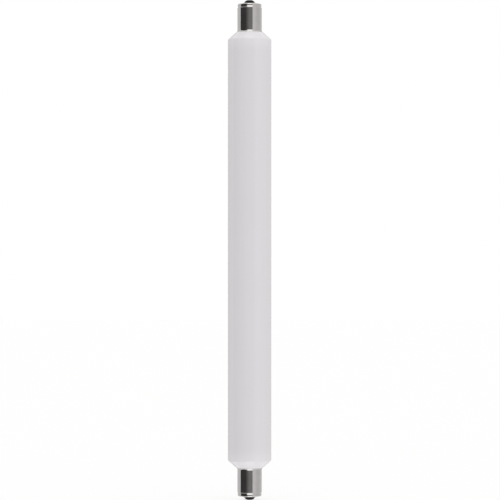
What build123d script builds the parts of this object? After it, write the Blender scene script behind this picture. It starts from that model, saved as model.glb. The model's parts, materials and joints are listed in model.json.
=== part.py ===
from build123d import *
from math import atan2, hypot, pi, tan
import os

# Tubular lamp with a single-contact cap on each end.
# The lamp's axis is Z and its middle is the origin. All sizes are in millimetres.

# Bulb
TUBE_DIAMETER = 27.0
TUBE_LENGTH = 261.06
TUBE_CORNER_RADIUS = 1.2
SHOULDER_HEIGHT = 4.45
LEDGE_MARGIN = 0.17
NECK_ROOT_RADIUS = 0.6
NECK_END_RADIUS = 0.8

# Cap shell, drawn from sheet
CAP_DIAMETER = 15.2
CAP_WALL = 0.35
BARREL_LENGTH = 15.18
LIP_HEIGHT = 0.82
LIP_FLARE = 0.69
LIP_BLEND_SHARE = 0.42
NOSE_STEP = 0.2
STEP_ROUNDING = 0.1
GROOVE_DEPTH = 0.18
GROOVE_FALL = 0.22
GROOVE_RISE = 0.85
GROOVE_ROUNDING = 0.06
BEAD_LENGTH = 1.2
BEAD_ROUNDING = 0.7
END_RISE = 0.81
EDGE_ROUNDING = 0.08

# Insulator, cast into the nose of the cap
FLANGE_THICKNESS = 0.7
INSULATOR_RECESS = 0.1
INSULATOR_LEDGE = 0.23
DOME_SKIRT_HEIGHT = 1.44
DOME_SKIRT_SPREAD = 1.35
DOME_CROWN_HEIGHT = 0.1
DOME_CROWN_SPREAD = 0.45
DOME_CROWN_RADIUS = 1.0
DOME_LEDGE = 0.15
DOME_ROOT_RADIUS = 0.4

# Contact button, domed with solder, with a stem through the insulator
CONTACT_DIAMETER = 3.4
CONTACT_HEIGHT = 0.2
CONTACT_ROUNDING = 0.05
SOLDER_FLAT_DIAMETER = 1.4
SOLDER_FALL = 0.08
SOLDER_BLEND_RADIUS = 5.0
STEM_DIAMETER = 1.8
STEM_PROUD = 0.4

# Lead wire and capping cement
WIRE_DIAMETER = 0.5
WIRE_IN_GLASS = 3.0
WIRE_IN_STEM = 2.5
NECK_TO_STEM = 0.8
CEMENT_THICKNESS = 1.65
CEMENT_RECESS = 1.2

# Clearances of the bonded fits
BOND_CLEARANCE = 0.02
WIRE_CLEARANCE = 0.03

# Radii shared by the pieces that fit together
tube_radius = TUBE_DIAMETER / 2
barrel_radius = CAP_DIAMETER / 2
barrel_bore = barrel_radius - CAP_WALL
nose_radius = barrel_radius - NOSE_STEP
nose_bore = nose_radius - CAP_WALL
groove_radius = nose_radius - GROOVE_DEPTH
neck_radius = barrel_bore - CEMENT_THICKNESS
lip_radius = barrel_radius + LIP_FLARE
contact_radius = CONTACT_DIAMETER / 2
dome_top_radius = contact_radius + DOME_LEDGE
dome_crown_radius = dome_top_radius + DOME_CROWN_SPREAD
dome_base_radius = dome_crown_radius + DOME_SKIRT_SPREAD
collar_radius = dome_base_radius + INSULATOR_LEDGE
end_hole_radius = collar_radius + BOND_CLEARANCE
stem_radius = STEM_DIAMETER / 2
stem_hole = stem_radius + BOND_CLEARANCE
wire_radius = WIRE_DIAMETER / 2
wire_hole = wire_radius + WIRE_CLEARANCE

# Roundings, held within the walls that carry them
edge_rounding = min(EDGE_ROUNDING, CAP_WALL / 3)
step_rounding = min(STEP_ROUNDING, NOSE_STEP - edge_rounding)
end_width = nose_radius - end_hole_radius
bead_rounding = min(BEAD_ROUNDING, BEAD_LENGTH - edge_rounding, end_width - 2 * edge_rounding)
bead_rounding_inside = max(bead_rounding - CAP_WALL, edge_rounding)
contact_rounding = min(CONTACT_ROUNDING, (CONTACT_HEIGHT - SOLDER_FALL) / 2)
lip_angle = atan2(LIP_FLARE, LIP_HEIGHT)
lip_edge_reach = edge_rounding / tan((pi / 2 - lip_angle) / 2)
lip_blend_reach = LIP_BLEND_SHARE * (hypot(LIP_FLARE, LIP_HEIGHT) - lip_edge_reach)
lip_blend_radius = lip_blend_reach / tan(lip_angle / 2)

# Heights above the middle of the lamp, at its upper end
tube_end = TUBE_LENGTH / 2
ledge = tube_end + SHOULDER_HEIGHT
rim = ledge + BOND_CLEARANCE
lip_top = rim + LIP_HEIGHT
step = rim + BARREL_LENGTH
groove = step + GROOVE_FALL
bead_start = groove + GROOVE_RISE
bead_end = bead_start + BEAD_LENGTH
shell_end = bead_end + END_RISE
step_inside = step - CAP_WALL
bead_end_inside = bead_end - CAP_WALL
end_inside = shell_end - CAP_WALL
dome_crown = shell_end + DOME_SKIRT_HEIGHT
dome_top = dome_crown + DOME_CROWN_HEIGHT
contact_tip = dome_top + CONTACT_HEIGHT
insulator_back = step_inside - FLANGE_THICKNESS
stem_back = insulator_back - STEM_PROUD
neck_end = stem_back - NECK_TO_STEM


def turned(corners):
    """Solid turned about the lamp's axis from corners of (radius, height, rounding)."""
    points = [(radius, height) for radius, height, rounding in corners]
    roundings = [rounding for radius, height, rounding in corners]
    outline = FilletPolyline(*points, radius=roundings, close=True)
    return revolve(Plane.XZ * make_face(outline), Axis.Z)


def rod(radius, low, high):
    """Round rod on the lamp's axis."""
    return turned([(0, low, 0), (radius, low, 0), (radius, high, 0), (0, high, 0)])


def turn_over(piece):
    """The same piece at the other end of the lamp."""
    return Rotation(180, 0, 0) * piece


def make_bulb():
    """Sealed glass tube with, at each end, a conical shoulder, a ledge for the cap's rim and a neck."""
    upper = [
        (neck_radius, neck_end, NECK_END_RADIUS),
        (neck_radius, ledge, NECK_ROOT_RADIUS),
        (lip_radius + LEDGE_MARGIN, ledge, 0),
        (tube_radius, tube_end, TUBE_CORNER_RADIUS),
    ]
    lower = [(radius, -height, rounding) for radius, height, rounding in reversed(upper)]
    bulb = turned([(0, neck_end, 0)] + upper + lower + [(0, -neck_end, 0)])
    seal = rod(wire_hole, neck_end - WIRE_IN_GLASS, neck_end)
    return bulb - seal - turn_over(seal)


def make_cap_shell():
    """Drawn cup: flared lip, straight barrel, step, groove, bead and a low cone of an end around a hole."""
    outside = [
        (lip_radius, rim, edge_rounding),
        (barrel_radius, lip_top, lip_blend_radius),
        (barrel_radius, step, step_rounding),
        (nose_radius, step, edge_rounding),
        (groove_radius, groove, GROOVE_ROUNDING),
        (nose_radius, bead_start, GROOVE_ROUNDING),
        (nose_radius, bead_end, bead_rounding),
        (end_hole_radius, shell_end, edge_rounding),
    ]
    inside = [
        (end_hole_radius, end_inside, edge_rounding),
        (nose_bore, bead_end_inside, bead_rounding_inside),
        (nose_bore, step_inside, 0),
        (barrel_bore, step_inside, 0),
        (barrel_bore, lip_top, lip_blend_radius),
        (lip_radius - CAP_WALL, rim, edge_rounding),
    ]
    return turned(outside + inside)


def make_insulator():
    """Black glass that fills the nose of the cap and rises through its end hole to a dome."""
    flange_radius = barrel_bore - BOND_CLEARANCE
    body_radius = nose_bore - BOND_CLEARANCE
    under_step = step_inside - BOND_CLEARANCE
    under_bead = bead_end_inside - BOND_CLEARANCE
    under_end = end_inside - BOND_CLEARANCE
    return turned(
        [
            (stem_hole, insulator_back, 0),
            (flange_radius, insulator_back, 0),
            (flange_radius, under_step, 0),
            (body_radius, under_step, 0),
            (body_radius, under_bead, bead_rounding_inside),
            (collar_radius, under_end, 0),
            (collar_radius, shell_end - INSULATOR_RECESS, 0),
            (dome_base_radius, shell_end, DOME_ROOT_RADIUS),
            (dome_crown_radius, dome_crown, DOME_CROWN_RADIUS),
            (dome_top_radius, dome_top, 0),
            (stem_hole, dome_top, 0),
        ]
    )


def make_contact():
    """Domed contact button, with a drilled stem that holds the lead wire."""
    button = turned(
        [
            (0, contact_tip, 0),
            (SOLDER_FLAT_DIAMETER / 2, contact_tip, SOLDER_BLEND_RADIUS),
            (contact_radius, contact_tip - SOLDER_FALL, contact_rounding),
            (contact_radius, dome_top, 0),
            (stem_radius, dome_top, 0),
            (stem_radius, stem_back, 0),
            (0, stem_back, 0),
        ]
    )
    return button - rod(wire_hole, stem_back, stem_back + WIRE_IN_STEM)


def make_cement():
    """Ring of capping cement between the neck of the bulb and the barrel of the cap."""
    inner = neck_radius + BOND_CLEARANCE
    outer = barrel_bore - BOND_CLEARANCE
    low = ledge + NECK_ROOT_RADIUS
    high = neck_end - CEMENT_RECESS
    return turned([(inner, low, 0), (outer, low, 0), (outer, high, 0), (inner, high, 0)])


def make_lead_wire():
    """Straight lead wire from the glass seal in the neck to the stem of the contact."""
    return rod(wire_radius, neck_end - WIRE_IN_GLASS, stem_back + WIRE_IN_STEM)


end_pieces = {
    "cap_shell": make_cap_shell(),
    "cap_insulator": make_insulator(),
    "cap_contact": make_contact(),
    "cap_cement": make_cement(),
    "lead_wire": make_lead_wire(),
}

pieces = {"bulb": make_bulb()}
for name, piece in end_pieces.items():
    pieces[f"upper_{name}"] = piece
    pieces[f"lower_{name}"] = turn_over(piece)

os.makedirs("parts", exist_ok=True)
for name, piece in pieces.items():
    export_step(piece, f"parts/{name}.step")
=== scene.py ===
import json
import math

import bmesh
import bpy
from mathutils import Matrix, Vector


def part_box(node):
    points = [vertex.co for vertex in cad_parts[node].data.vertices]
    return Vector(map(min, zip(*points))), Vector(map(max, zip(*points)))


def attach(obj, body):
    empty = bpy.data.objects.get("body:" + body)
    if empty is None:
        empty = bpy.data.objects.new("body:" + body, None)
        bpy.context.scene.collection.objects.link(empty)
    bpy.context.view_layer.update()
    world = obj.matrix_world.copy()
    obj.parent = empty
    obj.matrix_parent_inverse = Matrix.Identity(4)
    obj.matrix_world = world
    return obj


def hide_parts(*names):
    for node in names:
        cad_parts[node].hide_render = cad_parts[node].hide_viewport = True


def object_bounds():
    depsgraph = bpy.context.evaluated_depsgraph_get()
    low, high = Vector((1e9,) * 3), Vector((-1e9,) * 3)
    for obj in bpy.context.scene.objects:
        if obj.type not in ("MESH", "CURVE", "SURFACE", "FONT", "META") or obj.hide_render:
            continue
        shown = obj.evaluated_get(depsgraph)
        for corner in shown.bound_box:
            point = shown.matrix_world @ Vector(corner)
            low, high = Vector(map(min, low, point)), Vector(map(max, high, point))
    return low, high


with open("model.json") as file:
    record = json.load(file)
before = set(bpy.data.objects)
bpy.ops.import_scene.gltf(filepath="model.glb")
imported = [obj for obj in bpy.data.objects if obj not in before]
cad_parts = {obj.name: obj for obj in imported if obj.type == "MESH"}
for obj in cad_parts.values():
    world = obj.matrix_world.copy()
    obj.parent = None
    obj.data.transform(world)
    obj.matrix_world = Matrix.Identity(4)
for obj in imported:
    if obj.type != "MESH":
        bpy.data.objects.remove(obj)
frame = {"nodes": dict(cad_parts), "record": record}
cad_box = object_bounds()

# Tubular lamp with a single-contact cap on each end. Its axis is Z and its middle is the origin.
# Lengths are in metres, and heights are given for the upper end: the lower end is the same, turned over.
MM = 0.001

# Sizes of the solids that the pieces stand for
tube_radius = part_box("bulb")[1].x
neck_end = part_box("bulb")[1].z
barrel_radius = frame["record"]["mounts"][0]["dims"]["r_mm"] * MM
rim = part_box("upper_cap_shell")[0].z
flange_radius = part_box("upper_cap_insulator")[1].x
insulator_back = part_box("upper_cap_insulator")[0].z
dome_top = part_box("upper_cap_insulator")[1].z
contact_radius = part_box("upper_cap_contact")[1].x
stem_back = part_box("upper_cap_contact")[0].z
contact_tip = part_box("upper_cap_contact")[1].z
wire_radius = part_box("upper_lead_wire")[1].x
wire_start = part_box("upper_lead_wire")[0].z
wire_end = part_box("upper_lead_wire")[1].z

# Bulb
SHOULDER_HEIGHT = 4.45 * MM
LEDGE_MARGIN = 0.17 * MM
TUBE_CORNER_RADIUS = 1.2 * MM
NECK_RADIUS = 5.6 * MM
NECK_ROOT_RADIUS = 0.6 * MM
NECK_END_RADIUS = 0.8 * MM
# Length over which the glass colour is painted whiter towards each end, as painted light
PAINTED_END_LIGHT_LENGTH = 8.5 * MM

# Cap shell, drawn from sheet
CAP_WALL = 0.35 * MM
BARREL_LENGTH = 15.18 * MM
LIP_HEIGHT = 0.82 * MM
LIP_FLARE = 0.69 * MM
LIP_BLEND_SHARE = 0.42
NOSE_STEP = 0.2 * MM
STEP_ROUNDING = 0.1 * MM
GROOVE_DEPTH = 0.18 * MM
GROOVE_FALL = 0.22 * MM
GROOVE_RISE = 0.85 * MM
GROOVE_ROUNDING = 0.06 * MM
BEAD_LENGTH = 1.2 * MM
BEAD_ROUNDING = 0.7 * MM
END_RISE = 0.81 * MM
EDGE_ROUNDING = 0.08 * MM

# Insulator, cast into the nose of the cap
FLANGE_THICKNESS = 0.7 * MM
INSULATOR_RECESS = 0.1 * MM
INSULATOR_LEDGE = 0.23 * MM
DOME_SKIRT_SPREAD = 1.35 * MM
DOME_CROWN_HEIGHT = 0.1 * MM
DOME_CROWN_SPREAD = 0.45 * MM
DOME_CROWN_RADIUS = 1.0 * MM
DOME_LEDGE = 0.15 * MM
DOME_ROOT_RADIUS = 0.4 * MM

# Contact button, domed with solder, with a stem through the insulator
CONTACT_ROUNDING = 0.05 * MM
SOLDER_FLAT_RADIUS = 0.7 * MM
SOLDER_FALL = 0.08 * MM
SOLDER_BLEND_RADIUS = 5.0 * MM
SOLDER_RUBBED_SHARE = 0.85
STEM_RADIUS = 0.9 * MM

# Clearances of the bonded fits
BOND_CLEARANCE = 0.02 * MM
WIRE_CLEARANCE = 0.03 * MM

# Sizes shared by the pieces
ledge = rim - BOND_CLEARANCE
tube_end = ledge - SHOULDER_HEIGHT
lip_radius = barrel_radius + LIP_FLARE
barrel_bore = barrel_radius - CAP_WALL
nose_radius = barrel_radius - NOSE_STEP
nose_bore = nose_radius - CAP_WALL
step = rim + BARREL_LENGTH
bead_start = step + GROOVE_FALL + GROOVE_RISE
bead_end = bead_start + BEAD_LENGTH
bead_rounding_inside = BEAD_ROUNDING - CAP_WALL
shell_end = bead_end + END_RISE
dome_top_radius = contact_radius + DOME_LEDGE
dome_crown_radius = dome_top_radius + DOME_CROWN_SPREAD
dome_base_radius = dome_crown_radius + DOME_SKIRT_SPREAD
collar_radius = dome_base_radius + INSULATOR_LEDGE
wire_hole = wire_radius + WIRE_CLEARANCE

# Turned meshes
SPIN_STEPS = 144
ROUNDING_SEGMENTS = 8
SHARP_EDGE = math.radians(35)
MERGE_DISTANCE = 0.001 * MM

# Camera, level with the middle of the lamp and square to it
PHOTO_WIDTH_PX = 500
LAMP_LENGTH_PX = 499.6
LAMP_AXIS_PX = 249.6
CAMERA_DISTANCE = 1.55
SENSOR_WIDTH_MM = 36

# Light tent, as brightness where white paper is 1 and angles in degrees seen from the lamp.
# Azimuth 0 is towards the camera and rises to the right. The tent is alike above and below.
SOFT_SIDE = 0.66
SOFT_ENDS = 0.82
SOFT_KEY = 0.22
KEY_AZIMUTH = 25
WALL_LEVEL = 0.7
# Each zone of the wall that gloss mirrors, laid over the ones before it:
# azimuths and their softness, tilts and their softness, brightness
MIRRORED_ZONES = [
    # Top of the tent
    ((-150, 150), 6, (42, 100), 6, 0.8),
    # Dark flag on the left, which reaches round to the front
    ((-94, 28), 2, (-10, 60), 3, 0.047),
    # Bright panel in front, and the grey stand that it rests on
    ((-24, 30), 7, (12, 100), 2, 1.4),
    ((-18, 60), 25, (-10, 12), 2, 0.22),
    # Pale wall on the right, and a duller stretch of it
    ((28, 110), 2, (-10, 12), 2, 0.72),
    ((62, 112), 15, (-20, 40), 15, 0.63),
    # Softbox over each end of the lamp
    ((-200, 200), 1, (73, 100), 4, 1.3),
    # White backdrop behind the lamp, high up: its right half and its left half
    ((149, 200), 3, (36, 100), 3, 1.4),
    ((-200, -149), 3, (36, 100), 3, 1.4),
    # White backdrop behind the lamp, level with it: its right half and its left half
    ((168, 200), 3, (-10, 12), 3, 1),
    ((-200, -168), 3, (-10, 12), 3, 1),
]

# Floor, where the glow is the share of plain white in what the camera sees of it
FLOOR_RADIUS = 4.0
FLOOR_SIDES = 64
FLOOR_WHITE = "#F4F4F2"
FLOOR_GLOW = 0.8

WHITE = (1, 1, 1, 1)

# Sockets of a Mix node: its share, the two colours and their mix, and the two numbers
SHARE = 0
COLOUR_A = 6
COLOUR_B = 7
MIXED_COLOUR = 2
NUMBER_A = 2
NUMBER_B = 3


def linear(hex_colour):
    """Linear RGBA of an sRGB hex colour."""
    channels = [int(hex_colour[i:i + 2], 16) / 255 for i in (1, 3, 5)]
    return [c / 12.92 if c <= 0.04045 else ((c + 0.055) / 1.055) ** 2.4 for c in channels] + [1]


def add(tree, kind, inputs=None, **settings):
    """Adds a node. An input is a value, a socket to link, or a node whose first output is linked."""
    node = tree.nodes.new(kind)
    for name, value in settings.items():
        setattr(node, name, value)
    for name, value in (inputs or {}).items():
        if isinstance(value, bpy.types.Node):
            value = value.outputs[0]
        if isinstance(value, bpy.types.NodeSocket):
            tree.links.new(value, node.inputs[name])
        else:
            node.inputs[name].default_value = value
    return node


def start_material(name):
    """New material: its node tree and the object coordinates that its patterns lie on."""
    material = bpy.data.materials.new(name)
    material.use_nodes = True
    material.node_tree.nodes.clear()
    place = add(material.node_tree, "ShaderNodeTexCoord").outputs["Object"]
    return material, material.node_tree, place


def stretched(across, along):
    """Pattern scale for marks of this width around the lamp and this length along its axis."""
    return (1 / across, 1 / across, 1 / along)


# Materials

def opal_glass():
    """Opal glass drawn into a tube: milky white under a smooth and weakly glossy skin with faint draw lines.
    Towards the ends its colour is painted whiter, a painted brightening that stands in for light there."""
    cloud_size = 24 * MM
    line_width = 1.6 * MM
    line_length = 140 * MM
    line_height = 0.004 * MM
    smear_size = 9 * MM
    material, tree, place = start_material("opal_glass")
    cloud = add(tree, "ShaderNodeTexNoise", {"Vector": place, "Scale": 1 / cloud_size, "Detail": 3})
    lines = add(tree, "ShaderNodeMapping", {"Vector": place, "Scale": stretched(line_width, line_length)})
    draw = add(tree, "ShaderNodeTexNoise", {"Vector": lines, "Scale": 1, "Detail": 2})
    tone = add(tree, "ShaderNodeMath", {0: cloud, 1: draw}, operation="MULTIPLY")
    coat = add(
        tree, "ShaderNodeMix",
        {SHARE: tone, COLOUR_A: linear("#D8D5D8"), COLOUR_B: linear("#DDDADD")}, data_type="RGBA",
    )
    # Painted light: a whiter copy of the glass colour that brightens the tube near its ends
    painted_end_light = add(
        tree, "ShaderNodeMix",
        {SHARE: tone, COLOUR_A: linear("#DEDBDE"), COLOUR_B: linear("#E3E0E3")}, data_type="RGBA",
    )
    height = add(tree, "ShaderNodeSeparateXYZ", {"Vector": place}).outputs["Z"]
    from_middle = add(tree, "ShaderNodeMath", {0: height}, operation="ABSOLUTE")
    endward = add(
        tree, "ShaderNodeMapRange",
        {"Value": from_middle, "From Min": tube_end - PAINTED_END_LIGHT_LENGTH, "From Max": tube_end},
        interpolation_type="SMOOTHSTEP",
    )
    # Mixes in the painted brightening towards the ends of the tube
    colour = add(
        tree, "ShaderNodeMix",
        {
            SHARE: endward,
            COLOUR_A: coat.outputs[MIXED_COLOUR], COLOUR_B: painted_end_light.outputs[MIXED_COLOUR],
        },
        data_type="RGBA",
    )
    smear = add(tree, "ShaderNodeTexNoise", {"Vector": place, "Scale": 1 / smear_size, "Detail": 4})
    roughness = add(tree, "ShaderNodeMapRange", {"Value": smear, "To Min": 0.08, "To Max": 0.16})
    bump = add(tree, "ShaderNodeBump", {"Height": draw, "Strength": 1, "Distance": line_height})
    shader = add(
        tree, "ShaderNodeBsdfPrincipled",
        {"Base Color": colour.outputs[MIXED_COLOUR], "Roughness": roughness, "Normal": bump, "IOR": 1.5},
    )
    add(tree, "ShaderNodeOutputMaterial", {"Surface": shader})
    return material


def bright_nickel():
    """Nickel plate on drawn brass: a bright mirror with draw lines, hazy smears and a slight waviness."""
    smear_size = 4 * MM
    wave_size = 2.2 * MM
    wave_height = 0.008 * MM
    # Real draw lines are a few hundredths of a millimetre wide: these are wider, to show close up
    line_width = 0.25 * MM
    line_length = 9 * MM
    line_height = 0.001 * MM
    material, tree, place = start_material("bright_nickel")
    smear = add(tree, "ShaderNodeTexNoise", {"Vector": place, "Scale": 1 / smear_size, "Detail": 5})
    lines = add(tree, "ShaderNodeMapping", {"Vector": place, "Scale": stretched(line_width, line_length)})
    draw = add(tree, "ShaderNodeTexNoise", {"Vector": lines, "Scale": 1, "Detail": 3})
    waves = add(tree, "ShaderNodeTexNoise", {"Vector": place, "Scale": 1 / wave_size, "Detail": 1})
    colour = add(
        tree, "ShaderNodeMix",
        {SHARE: smear, COLOUR_A: linear("#CBC8C7"), COLOUR_B: linear("#D8D5D3")}, data_type="RGBA",
    )
    haze = add(tree, "ShaderNodeMath", {0: smear, 1: draw}, operation="MULTIPLY")
    roughness = add(
        tree, "ShaderNodeMapRange",
        {"Value": haze, "From Min": 0.1, "From Max": 0.5, "To Min": 0.04, "To Max": 0.12},
    )
    wavy = add(tree, "ShaderNodeBump", {"Height": waves, "Strength": 1, "Distance": wave_height})
    bump = add(
        tree, "ShaderNodeBump",
        {"Height": draw, "Strength": 1, "Distance": line_height, "Normal": wavy},
    )
    shader = add(
        tree, "ShaderNodeBsdfPrincipled",
        {
            "Base Color": colour.outputs[MIXED_COLOUR], "Metallic": 1,
            "Roughness": roughness, "Normal": bump,
        },
    )
    add(tree, "ShaderNodeOutputMaterial", {"Surface": shader})
    return material


def black_glass():
    """Black glass cast in the nose of the cap: dull black, with soft flow ripples and a little dust."""
    # Real dust is finer: its specks are drawn large enough to show close up
    dust_size = 0.3 * MM
    ripple_size = 1.4 * MM
    ripple_height = 0.02 * MM
    material, tree, place = start_material("black_glass")
    dust = add(tree, "ShaderNodeTexNoise", {"Vector": place, "Scale": 1 / dust_size, "Detail": 4})
    ripple = add(tree, "ShaderNodeTexNoise", {"Vector": place, "Scale": 1 / ripple_size, "Detail": 1})
    film = add(tree, "ShaderNodeMapRange", {"Value": dust, "From Min": 0.5, "From Max": 0.8})
    colour = add(
        tree, "ShaderNodeMix",
        {SHARE: film, COLOUR_A: linear("#0C0C0D"), COLOUR_B: linear("#201F1F")}, data_type="RGBA",
    )
    roughness = add(tree, "ShaderNodeMapRange", {"Value": dust, "To Min": 0.35, "To Max": 0.55})
    bump = add(tree, "ShaderNodeBump", {"Height": ripple, "Strength": 1, "Distance": ripple_height})
    shader = add(
        tree, "ShaderNodeBsdfPrincipled",
        {
            "Base Color": colour.outputs[MIXED_COLOUR], "Specular IOR Level": 0.1,
            "Roughness": roughness, "Normal": bump,
        },
    )
    add(tree, "ShaderNodeOutputMaterial", {"Surface": shader})
    return material


def tinned_brass():
    """Tinned brass contact: solder rubbed dull grey in the middle and tarnished nearly black at its edge."""
    stain_size = 0.9 * MM
    flow_size = 0.5 * MM
    flow_height = 0.03 * MM
    material, tree, place = start_material("tinned_brass")
    stain = add(tree, "ShaderNodeTexNoise", {"Vector": place, "Scale": 1 / stain_size, "Detail": 4})
    flow = add(tree, "ShaderNodeTexNoise", {"Vector": place, "Scale": 1 / flow_size, "Detail": 2})
    flat = add(tree, "ShaderNodeMapping", {"Vector": place, "Scale": (1, 1, 0)})
    from_axis = add(tree, "ShaderNodeVectorMath", {0: flat}, operation="LENGTH").outputs["Value"]
    rubbed = add(
        tree, "ShaderNodeMapRange",
        {
            "Value": from_axis, "To Min": 1, "To Max": 0,
            "From Min": SOLDER_FLAT_RADIUS, "From Max": SOLDER_RUBBED_SHARE * contact_radius,
        },
        interpolation_type="SMOOTHSTEP",
    )
    tarnish = add(
        tree, "ShaderNodeMix",
        {SHARE: stain, COLOUR_A: linear("#302E2C"), COLOUR_B: linear("#4B4844")}, data_type="RGBA",
    )
    solder = add(
        tree, "ShaderNodeMix",
        {SHARE: stain, COLOUR_A: linear("#6E6B66"), COLOUR_B: linear("#A09C95")}, data_type="RGBA",
    )
    colour = add(
        tree, "ShaderNodeMix",
        {
            SHARE: rubbed,
            COLOUR_A: tarnish.outputs[MIXED_COLOUR], COLOUR_B: solder.outputs[MIXED_COLOUR],
        },
        data_type="RGBA",
    )
    roughness = add(tree, "ShaderNodeMapRange", {"Value": flow, "To Min": 0.25, "To Max": 0.55})
    bump = add(tree, "ShaderNodeBump", {"Height": flow, "Strength": 1, "Distance": flow_height})
    shader = add(
        tree, "ShaderNodeBsdfPrincipled",
        {
            "Base Color": colour.outputs[MIXED_COLOUR], "Metallic": 1,
            "Roughness": roughness, "Normal": bump,
        },
    )
    add(tree, "ShaderNodeOutputMaterial", {"Surface": shader})
    return material


def baked_cement():
    """Capping cement, baked: matt buff filler with visible grit."""
    grit_size = 0.4 * MM
    grit_height = 0.05 * MM
    material, tree, place = start_material("baked_cement")
    grit = add(tree, "ShaderNodeTexNoise", {"Vector": place, "Scale": 1 / grit_size, "Detail": 4})
    colour = add(
        tree, "ShaderNodeMix",
        {SHARE: grit, COLOUR_A: linear("#B8A584"), COLOUR_B: linear("#D9CBAE")}, data_type="RGBA",
    )
    roughness = add(tree, "ShaderNodeMapRange", {"Value": grit, "To Min": 0.8, "To Max": 0.95})
    bump = add(tree, "ShaderNodeBump", {"Height": grit, "Strength": 1, "Distance": grit_height})
    shader = add(
        tree, "ShaderNodeBsdfPrincipled",
        {"Base Color": colour.outputs[MIXED_COLOUR], "Roughness": roughness, "Normal": bump},
    )
    add(tree, "ShaderNodeOutputMaterial", {"Surface": shader})
    return material


def bare_copper():
    """Drawn copper wire: warm metal with die lines along it, gone brown in patches from the seal's heat."""
    # Real die lines are finer: these are wide enough to show close up
    line_width = 0.06 * MM
    line_length = 4 * MM
    line_height = 0.002 * MM
    patch_size = 1.5 * MM
    material, tree, place = start_material("bare_copper")
    lines = add(tree, "ShaderNodeMapping", {"Vector": place, "Scale": stretched(line_width, line_length)})
    die = add(tree, "ShaderNodeTexNoise", {"Vector": lines, "Scale": 1, "Detail": 2})
    brown = add(tree, "ShaderNodeTexNoise", {"Vector": place, "Scale": 1 / patch_size, "Detail": 3})
    colour = add(
        tree, "ShaderNodeMix",
        {SHARE: brown, COLOUR_A: linear("#8A5A3C"), COLOUR_B: linear("#C98A63")}, data_type="RGBA",
    )
    roughness = add(tree, "ShaderNodeMapRange", {"Value": die, "To Min": 0.25, "To Max": 0.45})
    bump = add(tree, "ShaderNodeBump", {"Height": die, "Strength": 1, "Distance": line_height})
    shader = add(
        tree, "ShaderNodeBsdfPrincipled",
        {
            "Base Color": colour.outputs[MIXED_COLOUR], "Metallic": 1,
            "Roughness": roughness, "Normal": bump,
        },
    )
    add(tree, "ShaderNodeOutputMaterial", {"Surface": shader})
    return material


def white_paper():
    """Studio floor: matt white paper that glows to white for the camera and is still shaded by the lamp."""
    fibre_clump_size = 2 * MM
    material, tree, place = start_material("white_paper")
    fibre = add(tree, "ShaderNodeTexNoise", {"Vector": place, "Scale": 1 / fibre_clump_size, "Detail": 3})
    roughness = add(tree, "ShaderNodeMapRange", {"Value": fibre, "To Min": 0.85, "To Max": 0.95})
    paper = add(
        tree, "ShaderNodeBsdfPrincipled",
        {"Base Color": linear(FLOOR_WHITE), "Roughness": roughness, "Specular IOR Level": 0},
    )
    white = add(tree, "ShaderNodeEmission", {"Color": WHITE, "Strength": 1})
    rays = add(tree, "ShaderNodeLightPath").outputs
    glow = add(tree, "ShaderNodeMath", {0: rays["Is Camera Ray"], 1: FLOOR_GLOW}, operation="MULTIPLY")
    shader = add(tree, "ShaderNodeMixShader", {0: glow, 1: paper, 2: white})
    add(tree, "ShaderNodeOutputMaterial", {"Surface": shader})
    return material


# Pieces

def finished(name, shape):
    """Object in the scene, made from a bmesh that is done."""
    mesh = bpy.data.meshes.new(name)
    shape.to_mesh(mesh)
    shape.free()
    piece = bpy.data.objects.new(name, mesh)
    bpy.context.scene.collection.objects.link(piece)
    return piece


def turned(name, outline, closed, upside_down=False):
    """Mesh piece turned about the lamp's axis from corners of (radius, height, rounding). An outline that
    isn't closed starts and ends on the axis."""
    shape = bmesh.new()
    corners = [shape.verts.new((radius, 0, height)) for radius, height, rounding in outline]
    for start, end in zip(corners, corners[1:]):
        shape.edges.new((start, end))
    if closed:
        shape.edges.new((corners[-1], corners[0]))

    # The two sides that meet at each corner, taken before a rounding shortens them
    sides = {}
    for corner in corners:
        sides[corner] = [edge.other_vert(corner).co - corner.co for edge in corner.link_edges]
    for corner, (radius, height, rounding) in zip(corners, outline):
        if rounding:
            tangent = rounding / math.tan(sides[corner][0].angle(sides[corner][1]) / 2)
            bmesh.ops.bevel(
                shape, geom=[corner], offset=tangent, offset_type="OFFSET", affect="VERTICES",
                segments=ROUNDING_SEGMENTS, profile=0.5, material=-1, clamp_overlap=False,
            )

    bmesh.ops.spin(
        shape, geom=shape.verts[:] + shape.edges[:], cent=(0, 0, 0), axis=(0, 0, 1),
        angle=math.tau, steps=SPIN_STEPS, use_merge=True,
    )
    bmesh.ops.remove_doubles(shape, verts=shape.verts[:], dist=MERGE_DISTANCE)
    if upside_down:
        half_turn = Matrix.Rotation(math.pi, 3, "X")
        bmesh.ops.rotate(shape, verts=shape.verts[:], cent=(0, 0, 0), matrix=half_turn)
    bmesh.ops.recalc_face_normals(shape, faces=shape.faces[:])
    for face in shape.faces:
        face.smooth = True
    for edge in shape.edges:
        edge.smooth = edge.calc_face_angle() < SHARP_EDGE
    piece = finished(name, shape)
    normals = piece.modifiers.new("flat_faces_stay_flat", "WEIGHTED_NORMAL")
    normals.keep_sharp = True
    return piece


def dress(piece, node, material):
    """Gives a piece its finish and puts it in the place of its solid."""
    piece.data.materials.append(material)
    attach(piece, "root")
    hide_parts(node)


def make_bulb():
    """Sealed glass tube with, at each end, a conical shoulder, a ledge for the cap's rim and a neck."""
    upper = [
        (0, wire_start, 0),
        (wire_hole, wire_start, 0),
        (wire_hole, neck_end, 0),
        (NECK_RADIUS, neck_end, NECK_END_RADIUS),
        (NECK_RADIUS, ledge, NECK_ROOT_RADIUS),
        (lip_radius + LEDGE_MARGIN, ledge, 0),
        (tube_radius, tube_end, TUBE_CORNER_RADIUS),
    ]
    lower = [(radius, -height, rounding) for radius, height, rounding in reversed(upper)]
    return turned("glass_tube", upper + lower, closed=False)


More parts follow.
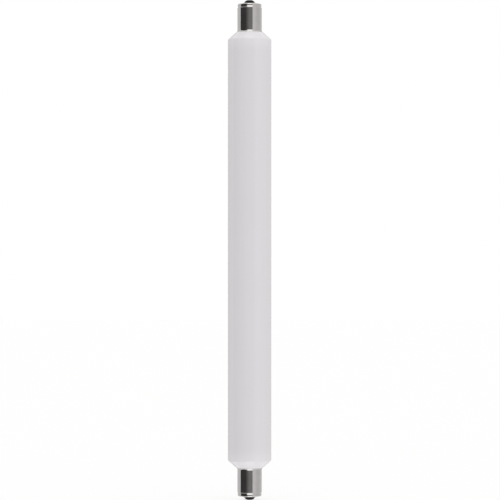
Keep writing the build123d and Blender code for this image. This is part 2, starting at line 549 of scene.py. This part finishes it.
def make_cap_shell(name, upside_down):
    """Drawn cup: flared lip, straight barrel, step, groove, bead and a low cone of an end around a hole."""
    lip_top = rim + LIP_HEIGHT
    lip_angle = math.atan2(LIP_FLARE, LIP_HEIGHT)
    lip_edge_reach = EDGE_ROUNDING / math.tan((math.pi / 2 - lip_angle) / 2)
    lip_blend_reach = LIP_BLEND_SHARE * (math.hypot(LIP_FLARE, LIP_HEIGHT) - lip_edge_reach)
    lip_blend_radius = lip_blend_reach / math.tan(lip_angle / 2)
    end_hole_radius = collar_radius + BOND_CLEARANCE
    outside = [
        (lip_radius, rim, EDGE_ROUNDING),
        (barrel_radius, lip_top, lip_blend_radius),
        (barrel_radius, step, STEP_ROUNDING),
        (nose_radius, step, EDGE_ROUNDING),
        (nose_radius - GROOVE_DEPTH, step + GROOVE_FALL, GROOVE_ROUNDING),
        (nose_radius, bead_start, GROOVE_ROUNDING),
        (nose_radius, bead_end, BEAD_ROUNDING),
        (end_hole_radius, shell_end, EDGE_ROUNDING),
    ]
    inside = [
        (end_hole_radius, shell_end - CAP_WALL, EDGE_ROUNDING),
        (nose_bore, bead_end - CAP_WALL, bead_rounding_inside),
        (nose_bore, step - CAP_WALL, 0),
        (barrel_bore, step - CAP_WALL, 0),
        (barrel_bore, lip_top, lip_blend_radius),
        (lip_radius - CAP_WALL, rim, EDGE_ROUNDING),
    ]
    return turned(name, outside + inside, closed=True, upside_down=upside_down)


def make_insulator(name, upside_down):
    """Black glass that fills the nose of the cap and rises through its end hole to a dome."""
    stem_hole = STEM_RADIUS + BOND_CLEARANCE
    body_radius = nose_bore - BOND_CLEARANCE
    under_step = insulator_back + FLANGE_THICKNESS - BOND_CLEARANCE
    under_bead = bead_end - CAP_WALL - BOND_CLEARANCE
    under_end = shell_end - CAP_WALL - BOND_CLEARANCE
    outline = [
        (stem_hole, insulator_back, 0),
        (flange_radius, insulator_back, 0),
        (flange_radius, under_step, 0),
        (body_radius, under_step, 0),
        (body_radius, under_bead, bead_rounding_inside),
        (collar_radius, under_end, 0),
        (collar_radius, shell_end - INSULATOR_RECESS, 0),
        (dome_base_radius, shell_end, DOME_ROOT_RADIUS),
        (dome_crown_radius, dome_top - DOME_CROWN_HEIGHT, DOME_CROWN_RADIUS),
        (dome_top_radius, dome_top, 0),
        (stem_hole, dome_top, 0),
    ]
    return turned(name, outline, closed=True, upside_down=upside_down)


def make_contact(name, upside_down):
    """Domed contact button, with a drilled stem that holds the lead wire."""
    outline = [
        (0, contact_tip, 0),
        (SOLDER_FLAT_RADIUS, contact_tip, SOLDER_BLEND_RADIUS),
        (contact_radius, contact_tip - SOLDER_FALL, CONTACT_ROUNDING),
        (contact_radius, dome_top, 0),
        (STEM_RADIUS, dome_top, 0),
        (STEM_RADIUS, stem_back, 0),
        (wire_hole, stem_back, 0),
        (wire_hole, wire_end, 0),
        (0, wire_end, 0),
    ]
    return turned(name, outline, closed=False, upside_down=upside_down)


nickel = bright_nickel()
insulator_glass = black_glass()
tinned = tinned_brass()
cement = baked_cement()
copper = bare_copper()

dress(make_bulb(), "bulb", opal_glass())
for end, upside_down in (("upper", False), ("lower", True)):
    shell = make_cap_shell(f"{end}_shell", upside_down)
    dress(shell, f"{end}_cap_shell", nickel)
    insulator = make_insulator(f"{end}_insulator", upside_down)
    dress(insulator, f"{end}_cap_insulator", insulator_glass)
    contact = make_contact(f"{end}_contact", upside_down)
    dress(contact, f"{end}_cap_contact", tinned)
    frame["nodes"][f"{end}_cap_cement"].material_slots[0].material = cement
    frame["nodes"][f"{end}_lead_wire"].material_slots[0].material = copper


# Stage

def lay_floor():
    """White floor under the lower tip. The tent's light passes through it, so only the camera sees it."""
    shape = bmesh.new()
    bmesh.ops.create_circle(shape, cap_ends=True, segments=FLOOR_SIDES, radius=FLOOR_RADIUS)
    bmesh.ops.translate(shape, verts=shape.verts[:], vec=(0, 0, cad_box[0].z))
    floor = finished("floor", shape)
    floor.data.materials.append(white_paper())
    floor.visible_diffuse = False
    floor.visible_glossy = False
    floor.visible_shadow = False


def between(tree, angle, limits, softness):
    """1 where an angle in radians lies between two limits in degrees, 0 elsewhere, with soft edges."""
    low, high = limits
    rise = add(
        tree, "ShaderNodeMapRange",
        {
            "Value": angle,
            "From Min": math.radians(low - softness), "From Max": math.radians(low + softness),
        },
        interpolation_type="SMOOTHSTEP",
    )
    fall = add(
        tree, "ShaderNodeMapRange",
        {
            "Value": angle, "To Min": 1, "To Max": 0,
            "From Min": math.radians(high - softness), "From Max": math.radians(high + softness),
        },
        interpolation_type="SMOOTHSTEP",
    )
    return add(tree, "ShaderNodeMath", {0: rise, 1: fall}, operation="MULTIPLY")


def soft_light(tree, direction, axes):
    """Brightness that falls on the lamp: more from both its ends than from its sides, and a little more
    from the key's side."""
    key = (math.sin(math.radians(KEY_AZIMUTH)), -math.cos(math.radians(KEY_AZIMUTH)), 0)
    facing = add(tree, "ShaderNodeVectorMath", {0: direction, 1: key}, operation="DOT_PRODUCT")
    endward = add(tree, "ShaderNodeMath", {0: axes["Z"], 1: axes["Z"]}, operation="MULTIPLY")
    soft = add(tree, "ShaderNodeMath", {0: endward, 1: SOFT_ENDS, 2: SOFT_SIDE}, operation="MULTIPLY_ADD")
    return add(
        tree, "ShaderNodeMath",
        {0: facing.outputs["Value"], 1: SOFT_KEY, 2: soft}, operation="MULTIPLY_ADD",
    )


def mirrored_wall(tree, axes):
    """Brightness that gloss mirrors: the zones of the tent's wall, laid one over another."""
    towards = add(tree, "ShaderNodeMath", {0: axes["Y"], 1: -1}, operation="MULTIPLY")
    azimuth = add(tree, "ShaderNodeMath", {0: axes["X"], 1: towards}, operation="ARCTAN2")
    rise = add(tree, "ShaderNodeMath", {0: axes["Z"]}, operation="ABSOLUTE")
    tilt = add(tree, "ShaderNodeMath", {0: rise}, operation="ARCSINE")
    wall = WALL_LEVEL
    for azimuths, softness_across, tilts, softness_upwards, brightness in MIRRORED_ZONES:
        across = between(tree, azimuth, azimuths, softness_across)
        upwards = between(tree, tilt, tilts, softness_upwards)
        zone = add(tree, "ShaderNodeMath", {0: across, 1: upwards}, operation="MULTIPLY")
        wall = add(tree, "ShaderNodeMix", {SHARE: zone, NUMBER_A: wall, NUMBER_B: brightness})
    return wall


def light_tent():
    """World: soft light from all round, a tent wall for gloss to mirror, and plain white for the camera."""
    world = bpy.data.worlds.new("light_tent")
    bpy.context.scene.world = world
    world.use_nodes = True
    tree = world.node_tree
    tree.nodes.clear()
    rays = add(tree, "ShaderNodeLightPath").outputs
    direction = add(tree, "ShaderNodeTexCoord").outputs["Generated"]
    axes = add(tree, "ShaderNodeSeparateXYZ", {"Vector": direction}).outputs
    soft = soft_light(tree, direction, axes)
    wall = mirrored_wall(tree, axes)
    mirrored = add(
        tree, "ShaderNodeMath",
        {0: rays["Is Glossy Ray"], 1: rays["Is Transmission Ray"]}, operation="MAXIMUM",
    )
    level = add(tree, "ShaderNodeMix", {SHARE: mirrored, NUMBER_A: soft, NUMBER_B: wall})
    level = add(tree, "ShaderNodeMix", {SHARE: rays["Is Camera Ray"], NUMBER_A: level, NUMBER_B: 1})
    background = add(tree, "ShaderNodeBackground", {"Color": WHITE, "Strength": level})
    add(tree, "ShaderNodeOutputWorld", {"Surface": background})


def place_camera():
    """Camera square to the lamp, framed as the photograph is."""
    lamp_length = cad_box[1].z - cad_box[0].z
    view_width = lamp_length * PHOTO_WIDTH_PX / LAMP_LENGTH_PX
    lens = bpy.data.cameras.new("camera")
    lens.sensor_width = SENSOR_WIDTH_MM
    lens.lens = SENSOR_WIDTH_MM * CAMERA_DISTANCE / view_width
    lens.shift_x = 0.5 - LAMP_AXIS_PX / PHOTO_WIDTH_PX
    camera = bpy.data.objects.new("camera", lens)
    camera.location = (0, -CAMERA_DISTANCE, 0)
    camera.rotation_euler = (math.pi / 2, 0, 0)
    bpy.context.scene.collection.objects.link(camera)
    bpy.context.scene.camera = camera


lay_floor()
light_tent()
place_camera()
bpy.context.scene.view_settings.view_transform = "Standard"
